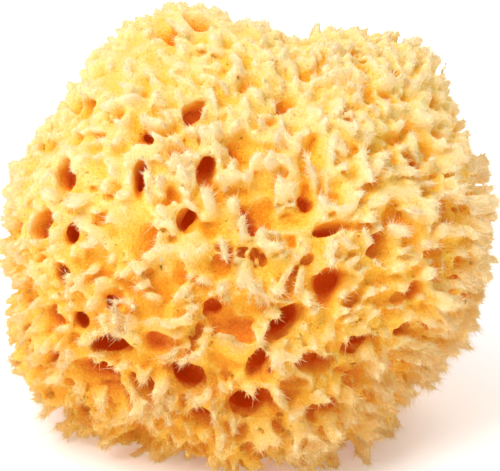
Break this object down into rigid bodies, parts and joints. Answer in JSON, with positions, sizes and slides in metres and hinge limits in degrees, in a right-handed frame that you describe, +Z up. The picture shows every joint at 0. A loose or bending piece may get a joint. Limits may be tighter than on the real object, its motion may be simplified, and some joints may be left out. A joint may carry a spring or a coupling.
{
  "type": "sea sponge",
  "caption": "Natural bath sponge grown as one piece: a rounded, golden fibrous lump full of pore canals between ragged ridges, cut off flat where it sat on the rock.",
  "frame": {"origin": "middle of the sponge's box, on the flat cut that it rests on", "axes": "+X to the right seen from the front, along the widest extent; -Y towards the front; +Z up from the cut"},
  "size_m": [0.15, 0.1386, 0.1328],
  "materials": {
    "sponge_fibre": "dry, matt sponge fibre, pale cream-yellow on the tips and ridges, golden below them and orange to red-brown deep in the pores"
  },
  "bodies": {
    "root": {"sea_sponge": "sponge_fibre"}
  },
  "joints": []
}
